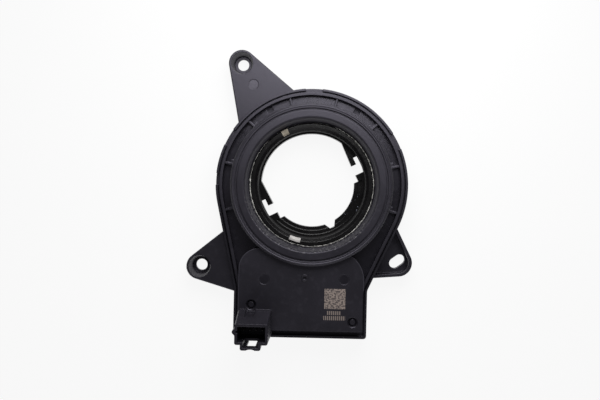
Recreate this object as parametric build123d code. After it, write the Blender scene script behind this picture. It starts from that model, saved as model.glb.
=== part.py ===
from build123d import *
from math import acos, atan2, cos, hypot, pi, radians, sin, sqrt, tan
import os

# Steering angle sensor, in millimetres.
# The origin is on the steering axis, in the plane of the rear face. +Z comes out of the front
# face and +Y points away from the connector.

# Outline of the rear housing: a ring with a box hanging below it
RING_R = 41.2
BOX_LEFT = -32.3
BOX_RIGHT = 24.65
BOX_BOTTOM = -65.6
SHOULDER_LEFT = -44.7
SHOULDER_RIGHT = -44.9
SHOULDER_ROUND = 4.0
BOX_CORNER = 1.3
LEAST_CORNER = 0.4

# Heights above the rear face
FLOOR_T = 2.0
LEDGE_Z = 9.2
LIP_H = 1.6
CHANNEL_FLOOR_T = 2.0
RIM_H = 3.3
PLATE_H = 5.3
DISC_H = 8.0

# How far a piece reaches into the one that it is moulded with
JOIN = 0.3

# Walls of the rear housing
LIP_T = 1.0
HOUSING_WALL = 2.6
BOTTOM_WALL = 4.7
BOTTOM_LIP_T = 1.1
CORE_W = 2.0
CORE_DEPTH = 6.4

# Front cover
COVER_OVERLAP = 0.5
RIM_T = 1.2
SKIRT_T = 1.2
SKIRT_H = 4.0
SKIRT_GAP = 0.15
BOTTOM_SKIRT_CUT = 1.9
DISC_R = 34.1
DISC_ROUND = 0.9
BEAD_W = 2.0
BEAD_H = 0.35
GROOVE_W = 0.9
GROOVE_DEPTH = 0.6
MOUTH_R = 27.9
MOUTH_DEPTH = 5.2
MOUTH_EDGE = 0.4
COVER_T = 1.7
COLLAR_T = 1.8
RIBS = 8
RIB_PITCH = 30.7
RIB_T = 0.8
RIB_DROP = 0.7
GUSSET_W = 1.5
GUSSET_L = 1.6
GUSSET_H = 1.8
FLOOR_POCKET_ANGLE = 30.6
FLOOR_POCKET_IN = 35.5
FLOOR_POCKET_OUT = 37.6
FLOOR_POCKET_W = 2.6
FLOOR_POCKET_DEPTH = 0.9
PLATE_LEFT_GAP = 0.3
PLATE_RIGHT_GAP = 1.75
PLATE_TOP = -27.1
PLATE_LEFT_ROUND = 8.5
PLATE_RIGHT_ROUND = 13.0

# Snap fits of the cover, by angle on the ring and by place on the box
SNAP_ANGLES = (28.4, 89.8, 151.2)
SNAP_HALF = 3.2
SNAP_NOTCH_HALF = 5.2
SNAP_Z = 5.4
SNAP_H = 2.5
SNAP_CLEAR = 0.25
SNAP_REACH = 0.95
SNAP_SIDE_GAP = 0.4
SNAP_LEFT_Y = -56.3
SNAP_RIGHT_Y = -50.5
SNAP_SIDE_W = 5.0
BARE_NOTCH_ANGLE = 177.8
BARE_NOTCH_HALF = 3.5

# Marks on the plate
STAKES = ((BOX_LEFT + 7.9, -50.9), (BOX_RIGHT - 6.25, -57.4))
STAKE_POCKET_R = 1.87
STAKE_POCKET_DEPTH = 1.5
STAKE_CHAMFER = 0.4
GATE_XY = (-2.1, -39.2)
GATE_R = 1.45
GATE_H = 0.25
GATE_PIT_R = 0.75
GATE_PIT_DEPTH = 0.6
EJECTORS = ((-19.05, -40.05), (14.45, -39.5))
EJECTOR_R = 2.2
EJECTOR_DEPTH = 0.12
EAR_EJECTOR = (-26.2, 42.75)

# Rotor
ROTOR_REAR = 0.4
ROTOR_BORE_R = 23.0
REAR_LIP_R = 22.2
ROTOR_LIP_R = 24.2
ROTOR_R = 25.95
ROTOR_FRONT = 14.5
ROTOR_GAP = 0.2
ROTOR_COLLAR_R = 24.8
ROTOR_EDGE = 0.3
ROTOR_TURN = 26.5
LEDGE_R = 18.5
LEDGE_STEPS = ((21.8, 4.0), (20.1, 3.0))
LEDGE_TOP = 5.0
FLAT_X = 19.15
FLAT_TAPER = 2.4
FLAT_TOP = 11.8
FLAT_END = -0.2
NOTCH_X = 23.2
NOTCH_LOW = -4.5
SLIT_TOP = 2.9
TAB_T = 2.0
BLOCK_X = 18.9
BLOCK_LOW = -7.4
VEE_DEPTH_R = 20.8
VEE_MOUTH = 5.3
VEE_FLOOR = 2.0

# Rotor gear and the two measuring gears
MODULE = 1.0
PRESSURE = 20.0
ADDENDUM = 0.95
DEDENDUM = 1.15
BACKLASH = 0.16
ROTOR_TEETH = 62
LARGE_TEETH = 21
SMALL_TEETH = 20
LARGE_ANGLE = -112.0
SMALL_ANGLE = -78.6
GEAR_LOW = 3.0
GEAR_FACE = 4.2
RIM_GEAR_R = 29.3
PINION_DROP = 0.4
AXLE_R = 2.0
AXLE_GAP = 0.08
AXLE_TOP = 5.5
AXLE_SHOULDER_R = 3.4
CUP_R = 4.2
CUP_TOP = 8.0
MAGNET_R = 3.0
MAGNET_T = 1.5
MAGNET_GAP = 0.05

# Gear retainer
RETAINER_Z = 7.3
RETAINER_T = 0.8
RETAINER_RIM = 2.0
RETAINER_FOOT = 1.2
RETAINER_GAP = 0.3

# Stake posts of the rear housing
POST_R = 2.7
POST_NECK_R = 2.0
POST_PIN_R = 1.15
POST_GAP = 0.15
POST_HEAD_R = 1.55
POST_HEAD_H = 0.75
POST_HEAD_EDGE = 0.45
COVER_BOSS_R = 3.0

# Circuit board
BOARD_Z = 10.2
BOARD_T = 1.6
BOARD_GAP = 0.35
BOARD_ARC_R = 35.2

# Index pads on the rotor's front face
PAD_T = 0.4
UPPER_PAD_OUT = 25.8
UPPER_PAD_IN = 23.42
UPPER_PAD_W = 2.8
UPPER_PAD_ANGLE = 118.2
LOWER_PAD_IN = ROTOR_BORE_R + 0.1
LOWER_PAD_OUT = 24.9
LOWER_PAD_W = 4.8
LOWER_PAD_ANGLE = 253.9

# Electronic parts: body, height, leads to a side, pitch and span over the leads
LEAD_T = 0.2
LEAD_W = 0.4
CHIP_STAND = 0.1
SENSOR_CHIP = ((4.9, 3.9), 1.5, 4, 1.27, 6.0)
SMALL_CHIP = ((4.9, 3.9), 1.5, 4, 1.27, 6.0)
CONTROLLER = ((7.0, 7.0), 1.5, 8, 0.8, 9.0)
REGULATOR = ((6.5, 3.5), 1.7, 3, 2.3, 7.0)
CRYSTAL = (5.0, 3.2, 1.3)
TANTALUM = (7.3, 4.3, 2.4)
DIODE = (4.6, 3.6, 2.2)
CAPACITOR = (2.0, 1.25, 1.1)
RESISTOR = (1.6, 0.8, 0.5)
CONTROLLER_XY = (-2.5, -49.5)
TRANSCEIVER_XY = (-12.0, -55.5)
MEMORY_XY = (7.0, -55.5)
REGULATOR_XY = (BOX_LEFT + 11.8, -44.2)
CRYSTAL_XY = (6.2, -48.3)
TANTALUM_XY = (-11.0, -47.8)
DIODE_XY = (BOX_LEFT + 8.1, -39.0)
CAPACITOR_XY = ((-18.0, -49.0), (-3.5, -41.5), (0.0, -41.5), (11.5, -50.5), (15.5, -47.5))
RESISTOR_XY = ((-7.0, -41.5), (-7.0, -43.5), (13.0, -44.0), (16.5, -44.0), (-3.0, -57.5), (0.5, -57.5))

# Connector shroud
SHROUD_X = BOX_LEFT + 9.65
SHROUD_BASE_W = 14.0
SHROUD_W = 13.3
SHROUD_LOW = -64.1
SHROUD_HOOD = -52.75
SHROUD_TOP = -55.8
SHROUD_Z = 32.0
SHROUD_WALL = 1.05
SHROUD_FLOOR = 17.6
SHROUD_ROUND = 0.8
LATCH_X = SHROUD_X - 0.25
LATCH_W = 8.25
LATCH_OUT = 2.2
LATCH_LOW = 17.0
LATCH_SILL = 24.5
LATCH_SLOT_W = 3.7
LATCH_BAR_Z = 28.3
LATCH_DISH = 0.45
KEY_Y = -59.0
KEY_R = 1.05
KEY_LOW = 19.5
KEY_GROOVE_R = 0.45
RELIEF_W = 3.8
RELIEF_L = 3.1
RELIEF_DEPTH = 0.8
RELIEF_TOP = 24.5

# Connector pins
PINS = 4
PIN_PITCH = 2.5
PIN_Y = -60.0
PIN_SIDE = 0.64
PIN_GAP = 0.04
PIN_HOLE_R = 0.55
PIN_HOLE_SIDES = 8
BOARD_TAB = 3.0
PIN_TAIL = 0.8
PIN_TOP = 23.5
PIN_POINT = 0.8

# Mounting ears
EAR_TOP = 8.0
EAR_SKIN = 2.5
EAR_SKIRT = 1.6
EAR_TIP_R = 5.7
EAR_HOLE_R = 2.5
EAR_HOLE_T = 1.6
POCKET_R = 4.75
POCKET_FLOOR_R = 3.6
BOSS_WALL = 1.3
EAR_RIB_T = 1.3
EAR_EDGE = 0.4
UPPER_EAR = (-31.4, 51.9)
LOWER_EAR = (-47.8, -36.3)
LOWER_FLAT = ((-52.8, -33.8), (-53.45, -37.4))
SLOT_EAR = (38.05, -32.95)
SLOT_EAR_R = 5.9
SLOT_FLOOR = 2.6
SLOT_RIM = 1.3
SLOT_R = 2.3
SLOT_LENGTH = 7.3
SLOT_ANGLE = 36.3

# The two ends of each ear's root, by how far they lie outside the ring and by angle
UPPER_ROOT = ((-0.9, 142.6), (-0.8, 100.9))
LOWER_ROOT = ((0.3, -151.6),)
LOWER_ROOT_LOW = (BOX_LEFT + 0.69, -47.0)
SLOT_ROOT = ((-1.0, -24.6), (6.4, -56.9))

# Heights that follow from the ones above
CHANNEL_Z = LEDGE_Z + CHANNEL_FLOOR_T
RIM_Z = CHANNEL_Z + RIM_H
PLATE_Z = CHANNEL_Z + PLATE_H
DISC_Z = CHANNEL_Z + DISC_H
LIP_Z = LEDGE_Z + LIP_H
CEILING_Z = PLATE_Z - COVER_T
GEAR_TOP = GEAR_LOW + GEAR_FACE
BOARD_TOP = BOARD_Z + BOARD_T
HEAD_Z = PLATE_Z - STAKE_POCKET_DEPTH
COVER_INSET = HOUSING_WALL - COVER_OVERLAP
COVER_BOTTOM = BOX_BOTTOM + BOTTOM_WALL - COVER_OVERLAP
RIM_R = RING_R - COVER_INSET
MOUTH_Z = DISC_Z - MOUTH_DEPTH
HOLE_R = ROTOR_R + ROTOR_GAP


def polar(radius, angle):
    return (radius * cos(radians(angle)), radius * sin(radians(angle)))


def prism(face, low, high):
    return Pos(0, 0, low) * extrude(face, amount=high - low, dir=(0, 0, 1))


def drum(radius, low, high, at=(0, 0)):
    return Pos(at[0], at[1], (low + high) / 2) * Cylinder(radius, high - low)


def tube(inner, outer, low, high, at=(0, 0)):
    return drum(outer, low, high, at) - drum(inner, low, high, at)


def block(x, y, low, high):
    """A box between two X values, two Y values and two heights."""
    width, depth = abs(x[1] - x[0]), abs(y[1] - y[0])
    return Pos((x[0] + x[1]) / 2, (y[0] + y[1]) / 2, (low + high) / 2) * Box(width, depth, high - low)


def turned(points, arc=360.0, start=0.0):
    """A section of radii and heights, turned about the steering axis."""
    path = Polyline(*[(radius, 0, height) for radius, height in points], close=True)
    return Rot(0, 0, start) * revolve(make_face(path), Axis.Z, arc)


def rounded_corner(radius, height, rounding):
    """The upper outer corner of a turned section, as a quarter circle in two flat steps."""
    middle = rounding * (1 - cos(pi / 4))
    return [(radius, height - rounding), (radius - middle, height - middle), (radius - rounding, height)]


def wall_angle(corner, side):
    """The direction in which the slanting wall from a shoulder touches the ring."""
    return atan2(corner[1], corner[0]) + side * acos(RING_R / hypot(*corner))


LEFT_WALL = wall_angle((BOX_LEFT, SHOULDER_LEFT), -1)
RIGHT_WALL = wall_angle((BOX_RIGHT, SHOULDER_RIGHT), 1)


def outline(inset, bottom):
    """The housing's outline moved inwards, with its bottom edge at a height of its own."""
    radius = RING_R - inset
    left, right = BOX_LEFT + inset, BOX_RIGHT - inset
    left_shoulder = (left, (radius - left * cos(LEFT_WALL)) / sin(LEFT_WALL))
    right_shoulder = (right, (radius - right * cos(RIGHT_WALL)) / sin(RIGHT_WALL))
    left_touch = (radius * cos(LEFT_WALL), radius * sin(LEFT_WALL))
    right_touch = (radius * cos(RIGHT_WALL), radius * sin(RIGHT_WALL))
    points = [left_touch, left_shoulder, (left, bottom), (right, bottom), right_shoulder, right_touch]
    face = make_face(Polyline(*points) + ThreePointArc(right_touch, (0, radius), left_touch))
    shoulders = [v for v in face.vertices() if near(v, left_shoulder) or near(v, right_shoulder)]
    face = fillet(shoulders, SHOULDER_ROUND)
    corners = [v for v in face.vertices() if near(v, (left, bottom)) or near(v, (right, bottom))]
    return fillet(corners, max(BOX_CORNER - inset / 3, LEAST_CORNER))


def near(vertex, point):
    return hypot(vertex.X - point[0], vertex.Y - point[1]) < 0.01


def cover_outline(extra=0.0):
    return outline(COVER_INSET + extra, COVER_BOTTOM + extra)


def plate_face(inset=0.0):
    """The raised plate over the box, inside the cover's outline."""
    left = BOX_LEFT + COVER_INSET + PLATE_LEFT_GAP + inset
    right = BOX_RIGHT - PLATE_RIGHT_GAP - inset
    top = PLATE_TOP - inset
    corners = [(left, BOX_BOTTOM), (right, BOX_BOTTOM), (right, top), (left, top)]
    shape = make_face(Polyline(*corners, close=True))
    shape = fillet([v for v in shape.vertices() if near(v, (left, top))], PLATE_LEFT_ROUND - inset)
    shape = fillet([v for v in shape.vertices() if near(v, (right, top))], PLATE_RIGHT_ROUND - inset)
    return shape & cover_outline(inset)


def on_ring(places):
    """Points at their distances out from the ring's edge and their angles about its axis."""
    return [polar(RING_R + out, angle) for out, angle in places]


def ear_face(tip, radius, root, extra=()):
    """A mounting ear: the hull of its round tip and its root on the housing."""
    edges = [Pos(*tip) * e for e in Circle(radius).edges()]
    edges += [Line(*root)]
    if extra:
        edges += [Line(*extra)]
    return make_hull(ShapeList(edges))


def eased(solid, size):
    """The solid with the edges of its top face cut off."""
    return chamfer(solid.edges().group_by(Axis.Z)[-1], size)


def hollow_ear(tip, root, extra=()):
    """A skin with a skirt, cored from behind, and a boss with a deep screw pocket."""
    face = ear_face(tip, EAR_TIP_R, root, extra)
    core = offset(face, -EAR_SKIRT) - Pos(*tip) * Circle(POCKET_R + BOSS_WALL)
    reach = hypot(*tip)
    rib = Rot(0, 0, atan2(tip[1], tip[0]) * 180 / pi) * Pos(reach / 2, 0) * Rectangle(reach, EAR_RIB_T)
    ear = eased(prism(face, 0, EAR_TOP), EAR_EDGE) - prism(core - rib, 0, EAR_TOP - EAR_SKIN)
    taper = Cone(POCKET_FLOOR_R, POCKET_R, EAR_TOP - EAR_HOLE_T)
    ear -= Pos(tip[0], tip[1], (EAR_HOLE_T + EAR_TOP) / 2) * taper
    return ear - drum(EAR_HOLE_R, 0, EAR_HOLE_T, tip)


def slotted_ear():
    """The ear with a slot: an open tray with a rim round its edge."""
    face = ear_face(SLOT_EAR, SLOT_EAR_R, on_ring(SLOT_ROOT))
    tray = prism(face, 0, EAR_TOP) - prism(offset(face, -SLOT_RIM), SLOT_FLOOR, EAR_TOP)
    slot = Pos(*SLOT_EAR) * Rot(0, 0, SLOT_ANGLE) * SlotOverall(SLOT_LENGTH, 2 * SLOT_R)
    return tray - prism(slot, 0, SLOT_FLOOR)


def gear_place(teeth, angle):
    """Where a measuring gear sits and how far it is turned to mesh with the rotor."""
    centre = polar(MODULE * (ROTOR_TEETH + teeth) / 2, angle)
    phase = (angle * ROTOR_TEETH / 360) % 1
    return centre, angle + 180 + (phase + 0.5) * 360 / teeth


GEARS = {
    "large": (LARGE_TEETH, *gear_place(LARGE_TEETH, LARGE_ANGLE)),
    "small": (SMALL_TEETH, *gear_place(SMALL_TEETH, SMALL_ANGLE)),
}


def gear_face(teeth):
    """A gear outline with involute flanks, three points to a flank."""
    pitch_r = MODULE * teeth / 2
    base_r = pitch_r * cos(radians(PRESSURE))
    tip_r, root_r = pitch_r + ADDENDUM * MODULE, pitch_r - DEDENDUM * MODULE

    def involute(radius):
        slope = acos(min(base_r / radius, 1))
        return tan(slope) - slope

    half = (pi / 2 - BACKLASH / MODULE / 2) / teeth + involute(pitch_r)
    radii = (root_r, pitch_r, tip_r)
    flank = [(r, half - involute(max(r, base_r))) for r in radii]
    points = []
    for tooth in range(teeth):
        middle = 2 * pi * tooth / teeth
        sides = [(r, middle - a) for r, a in flank] + [(r, middle + a) for r, a in reversed(flank)]
        points += [(r * cos(a), r * sin(a)) for r, a in sides]
    return make_face(Polyline(*points, close=True))


def stake_post(at):
    """A post that carries the retainer and the board, with its end melted to a head."""
    post = drum(POST_R, 0, RETAINER_Z, at) + drum(POST_NECK_R, RETAINER_Z, BOARD_Z, at)
    post += drum(POST_PIN_R, BOARD_Z, HEAD_Z, at)
    return post + eased(drum(POST_HEAD_R, HEAD_Z, HEAD_Z + POST_HEAD_H, at), POST_HEAD_EDGE)


# The snaps on the sides of the box: the wall's X, the direction out of it and the snap's Y
SIDE_SNAPS = ((BOX_LEFT, -1, SNAP_LEFT_Y), (BOX_RIGHT, 1, SNAP_RIGHT_Y))


def rear_housing():
    """The case: floor, walls, a lip round the cover, three ears, two axles and two stake posts."""
    body = prism(outline(0, BOX_BOTTOM), 0, LIP_Z)
    body -= prism(outline(LIP_T, BOX_BOTTOM + BOTTOM_LIP_T), LEDGE_Z, LIP_Z)
    body += hollow_ear(UPPER_EAR, on_ring(UPPER_ROOT))
    body -= drum(EJECTOR_R, EAR_TOP - EJECTOR_DEPTH, EAR_TOP, EAR_EJECTOR)
    body += hollow_ear(LOWER_EAR, [*on_ring(LOWER_ROOT), LOWER_ROOT_LOW], LOWER_FLAT)
    body += slotted_ear()
    body -= prism(outline(HOUSING_WALL, BOX_BOTTOM + BOTTOM_WALL), FLOOR_T, LIP_Z)
    hole = ROTOR_COLLAR_R + ROTOR_GAP
    body += drum(hole + COLLAR_T, 0, GEAR_LOW - RETAINER_GAP)
    body -= drum(hole, 0, GEAR_LOW)
    core_y = BOX_BOTTOM + (BOTTOM_WALL - CORE_W) / 2
    for left, right in ((BOX_LEFT, SHROUD_X), (SHROUD_X, 0), (0, BOX_RIGHT)):
        span = (left + HOUSING_WALL / 2, right - HOUSING_WALL / 2)
        body -= block(span, (core_y, core_y + CORE_W), 0, CORE_DEPTH)
    for angle in SNAP_ANGLES:
        window = band(RING_R - HOUSING_WALL - JOIN, SNAP_Z, SNAP_Z + SNAP_H)
        body -= turned(window, 2 * SNAP_HALF, angle - SNAP_HALF)
        body -= lip_notch(angle, SNAP_NOTCH_HALF)
    body -= lip_notch(BARE_NOTCH_ANGLE, BARE_NOTCH_HALF)
    for wall, out, middle in SIDE_SNAPS:
        span = (middle - SNAP_SIDE_W / 2, middle + SNAP_SIDE_W / 2)
        body -= block((wall, wall - out * HOUSING_WALL), span, SNAP_Z, SNAP_Z + SNAP_H)
    for teeth, centre, turn in GEARS.values():
        body += drum(AXLE_SHOULDER_R, 0, GEAR_LOW + PINION_DROP / 2, centre)
        body += drum(AXLE_R, 0, AXLE_TOP, centre)
    for at in STAKES:
        body += stake_post(at)
    return body


def band(inner, low, high):
    """A section from a radius out past the housing's ring, between two heights."""
    outer = RING_R + JOIN
    return [(inner, low), (outer, low), (outer, high), (inner, high)]


def lip_notch(angle, half):
    return turned(band(RING_R - LIP_T, LEDGE_Z, LIP_Z), 2 * half, angle - half)


def disc_section():
    """Section of the cover's disc: bead, groove, flat ring and the mouth that slopes to the rotor."""
    bead_in = DISC_R - BEAD_W
    groove_in = bead_in - GROOVE_W
    slope = (MOUTH_R - HOLE_R) / MOUTH_DEPTH
    return [
        (HOLE_R - JOIN, LEDGE_Z),
        (DISC_R, LEDGE_Z),
        *rounded_corner(DISC_R, DISC_Z + BEAD_H, DISC_ROUND),
        (bead_in, DISC_Z + BEAD_H),
        (bead_in, DISC_Z - GROOVE_DEPTH),
        (groove_in, DISC_Z - GROOVE_DEPTH),
        (groove_in, DISC_Z),
        (MOUTH_R + MOUTH_EDGE, DISC_Z),
        (MOUTH_R - MOUTH_EDGE * slope, DISC_Z - MOUTH_EDGE),
        (HOLE_R, MOUTH_Z),
        (HOLE_R - JOIN, MOUTH_Z),
    ]


def shroud_outer():
    """The shroud tapers upwards and its hood leans away from the plate."""
    low = Pos(SHROUD_X, (SHROUD_LOW + SHROUD_HOOD) / 2, PLATE_Z)
    low *= RectangleRounded(SHROUD_BASE_W, SHROUD_HOOD - SHROUD_LOW, SHROUD_ROUND)
    high = Pos(SHROUD_X, (SHROUD_LOW + SHROUD_TOP) / 2, SHROUD_Z)
    high *= RectangleRounded(SHROUD_W, SHROUD_TOP - SHROUD_LOW, SHROUD_ROUND)
    foot = block(base_span(), (SHROUD_LOW, COVER_BOTTOM + 1), LEDGE_Z, PLATE_Z)
    foot += block(base_span(), (COVER_BOTTOM, SHROUD_HOOD), CEILING_Z, PLATE_Z)
    return loft([low, high]) + foot


def base_span():
    return (SHROUD_X - SHROUD_BASE_W / 2, SHROUD_X + SHROUD_BASE_W / 2)


def mouth_span():
    half = SHROUD_W / 2 - SHROUD_WALL
    return (SHROUD_X - half, SHROUD_X + half)


def latch():
    """The latch housing on the outer side of the shroud, open at its foot."""
    span = (LATCH_X - LATCH_W / 2, LATCH_X + LATCH_W / 2)
    out = SHROUD_LOW - LATCH_OUT
    body = block(span, (out, SHROUD_LOW + SHROUD_WALL), LATCH_LOW, SHROUD_Z)
    body = fillet(body.edges().filter_by(Axis.Z).group_by(Axis.Y)[0], SHROUD_ROUND)
    dish_r = (LATCH_SLOT_W**2 / 4 + LATCH_DISH**2) / (2 * LATCH_DISH)
    body -= drum(dish_r, LATCH_LOW, SHROUD_Z, (LATCH_X, out + LATCH_DISH - dish_r))
    return body


def latch_space():
    half = LATCH_W / 2 - SHROUD_WALL
    out = SHROUD_LOW - LATCH_OUT
    span = (LATCH_X - half, LATCH_X + half)
    space = block(span, (out + SHROUD_WALL, SHROUD_LOW), LATCH_LOW, SHROUD_Z)
    space += block(span, (SHROUD_LOW, SHROUD_LOW + SHROUD_WALL), LATCH_SILL, SHROUD_Z)
    slot = (LATCH_X - LATCH_SLOT_W / 2, LATCH_X + LATCH_SLOT_W / 2)
    return space + block(slot, (out, SHROUD_LOW), LATCH_LOW, LATCH_BAR_Z)


def key_rib():
    """A hollow key along the left wall of the shroud."""
    left = SHROUD_X - SHROUD_W / 2
    return drum(KEY_R, KEY_LOW, SHROUD_Z, (left, KEY_Y))


def front_cover():
    """The cover: disc, ribbed channel, raised plate and shroud, hollow from behind."""
    face = cover_outline()
    body = prism(face, LEDGE_Z, CHANNEL_Z)
    body += prism(face - offset(face, -RIM_T), LEDGE_Z, RIM_Z)
    body += prism(plate_face(), LEDGE_Z, PLATE_Z)
    body += turned(disc_section())
    for rib in range(RIBS):
        body += channel_rib(90 + (rib - (RIBS - 1) / 2) * RIB_PITCH)
    for side in (-1, 1):
        body -= floor_pocket(90 + side * FLOOR_POCKET_ANGLE)
    body += shroud_outer()
    body -= cover_cavity()
    body += drum(MOUTH_R + COVER_T, GEAR_TOP + RETAINER_GAP, LEDGE_Z + JOIN)
    body -= drum(HOLE_R, GEAR_TOP, MOUTH_Z + JOIN)
    body += skirt()
    for at in STAKES:
        body += drum(COVER_BOSS_R, BOARD_TOP, CEILING_Z + JOIN, at)
        body -= drum(STAKE_POCKET_R, HEAD_Z, PLATE_Z, at)
        body -= drum(POST_PIN_R + POST_GAP, BOARD_TOP, PLATE_Z, at)
        edge = Cone(STAKE_POCKET_R, STAKE_POCKET_R + STAKE_CHAMFER, STAKE_CHAMFER)
        body -= Pos(at[0], at[1], PLATE_Z - STAKE_CHAMFER / 2) * edge
    body += tube(GATE_PIT_R, GATE_R, PLATE_Z, PLATE_Z + GATE_H, GATE_XY)
    body -= drum(GATE_PIT_R, PLATE_Z - GATE_PIT_DEPTH, PLATE_Z, GATE_XY)
    for at in EJECTORS:
        body -= drum(EJECTOR_R, PLATE_Z - EJECTOR_DEPTH, PLATE_Z, at)
    body += latch() + key_rib()
    mouth = mouth_span()
    depth = (SHROUD_LOW + SHROUD_WALL, SHROUD_TOP - SHROUD_WALL)
    body -= block(mouth, depth, SHROUD_FLOOR, SHROUD_Z)
    body -= drum(KEY_GROOVE_R, SHROUD_FLOOR, SHROUD_Z, (mouth[0] - KEY_GROOVE_R / 2, KEY_Y))
    body -= latch_space()
    relief = (STAKES[0][0] - RELIEF_W / 2, STAKES[0][0] + RELIEF_W / 2)
    depth = (SHROUD_HOOD - RELIEF_L, SHROUD_HOOD + JOIN)
    body -= block(relief, depth, PLATE_Z, RELIEF_TOP) & hood_skin()
    half = PIN_SIDE / 2 + PIN_GAP
    for x in pin_places():
        body -= block((x - half, x + half), (PIN_Y - half, PIN_Y + half), CEILING_Z, SHROUD_FLOOR)
    return body


def hood_skin():
    """The outer layer of the hood, as deep as the relief under the rivet pocket."""
    deep = shroud_outer() & (Pos(0, -RELIEF_DEPTH, 0) * shroud_outer())
    return shroud_outer() - deep


def channel_rib(angle):
    """A thin rib across the channel, with a small gusset at its inner end."""
    inner = DISC_R - JOIN
    rib = block((inner, RIM_R - RIM_T / 2), (-RIB_T / 2, RIB_T / 2), LEDGE_Z, RIM_Z - RIB_DROP)
    side = 1 if angle < 90 else -1
    width = (0, side * (RIB_T / 2 + GUSSET_W))
    gusset = block((inner, DISC_R + GUSSET_L), width, LEDGE_Z, CHANNEL_Z + GUSSET_H)
    return Rot(0, 0, angle) * (rib + gusset)


def floor_pocket(angle):
    width = (-FLOOR_POCKET_W / 2, FLOOR_POCKET_W / 2)
    depth = (CHANNEL_Z - FLOOR_POCKET_DEPTH, CHANNEL_Z)
    return Rot(0, 0, angle) * block((FLOOR_POCKET_IN, FLOOR_POCKET_OUT), width, *depth)


def cover_cavity():
    """The space under the disc, under the plate and under the shroud."""
    inner = MOUTH_R + COVER_T
    outer = DISC_R - COVER_T
    space = tube(inner, outer, LEDGE_Z, DISC_Z - 2 * COVER_T)
    space += prism(plate_face(COVER_T), LEDGE_Z, CEILING_Z) - drum(inner, LEDGE_Z, CEILING_Z)
    base = base_span()
    width = (base[0] + SHROUD_WALL, base[1] - SHROUD_WALL)
    depth = (SHROUD_LOW + SHROUD_WALL, COVER_BOTTOM + COVER_T)
    return space + block(width, depth, LEDGE_Z, CEILING_Z)


def skirt():
    """The cover's skirt inside the housing wall, with wedge hooks for the snap windows."""
    bottom = BOX_BOTTOM + BOTTOM_WALL
    outer = outline(HOUSING_WALL + SKIRT_GAP, bottom + SKIRT_GAP)
    inner = outline(HOUSING_WALL + SKIRT_GAP + SKIRT_T, bottom + SKIRT_GAP + SKIRT_T)
    body = prism(outer - inner, LEDGE_Z - SKIRT_H, LEDGE_Z + JOIN)
    cut = (bottom, bottom + BOTTOM_SKIRT_CUT)
    body -= block((BOX_LEFT, BOX_RIGHT), cut, LEDGE_Z - SKIRT_H, LEDGE_Z + JOIN)
    for at in STAKES:
        body -= drum(POST_R + 2 * RETAINER_GAP + RETAINER_FOOT, LEDGE_Z - SKIRT_H, LEDGE_Z, at)
    face_r = RING_R - HOUSING_WALL - SKIRT_GAP
    low = SNAP_Z + SNAP_CLEAR
    top = SNAP_Z + SNAP_H - SNAP_CLEAR
    wedge = [(face_r - JOIN, low), (face_r, low), (face_r + SNAP_REACH, top), (face_r - JOIN, top)]
    half = SNAP_HALF - SNAP_SIDE_GAP
    for angle in SNAP_ANGLES:
        body += turned(wedge, 2 * half, angle - half)
    for wall, out, middle in SIDE_SNAPS:
        x = wall - out * (HOUSING_WALL + SKIRT_GAP)
        points = [(x - out * JOIN, low), (x, low), (x + out * SNAP_REACH, top), (x - out * JOIN, top)]
        start = middle - SNAP_SIDE_W / 2 + SNAP_CLEAR
        section = make_face(Polyline(*[(px, start, pz) for px, pz in points], close=True))
        body += extrude(section, amount=SNAP_SIDE_W - 2 * SNAP_CLEAR, dir=(0, 1, 0))
    return body


def flat_x(y):
    """Half the width between the rotor's flats, which open slightly towards the top."""
    return FLAT_X + (y - (FLAT_TOP + FLAT_END) / 2) * tan(radians(FLAT_TAPER))


def key_opening():
    """The opening in the rotor's driving ledge: flats, clip notches, blocks and a V notch."""
    low_x, top_x = flat_x(NOTCH_LOW), flat_x(FLAT_TOP)
    flats = [(-low_x, NOTCH_LOW), (low_x, NOTCH_LOW), (top_x, FLAT_TOP), (-top_x, FLAT_TOP)]
    shape = make_face(Polyline(*flats, close=True))
    shape += Pos(0, FLAT_TOP + ROTOR_BORE_R / 2) * Rectangle(2 * ROTOR_BORE_R, ROTOR_BORE_R)
    shape &= Circle(REAR_LIP_R)
    shape += Circle(LEDGE_R)
    shape += Pos(0, (BLOCK_LOW + NOTCH_LOW) / 2) * Rectangle(2 * BLOCK_X, NOTCH_LOW - BLOCK_LOW)
    shape += Pos(0, (NOTCH_LOW + FLAT_END) / 2) * Rectangle(2 * NOTCH_X, FLAT_END - NOTCH_LOW)
    slit = NOTCH_X - FLAT_X - TAB_T
    for side in (-1, 1):
        middle = Pos(side * (NOTCH_X - slit / 2), (NOTCH_LOW + SLIT_TOP) / 2)
        shape += middle * Rectangle(slit, SLIT_TOP - NOTCH_LOW)
    mouth, floor = VEE_MOUTH / 2, VEE_FLOOR / 2
    start = JOIN - sqrt(LEDGE_R**2 - mouth**2)
    vee = [(-mouth, start), (mouth, start), (floor, -VEE_DEPTH_R), (-floor, -VEE_DEPTH_R)]
    return shape + make_face(Polyline(*vee, close=True))


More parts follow.
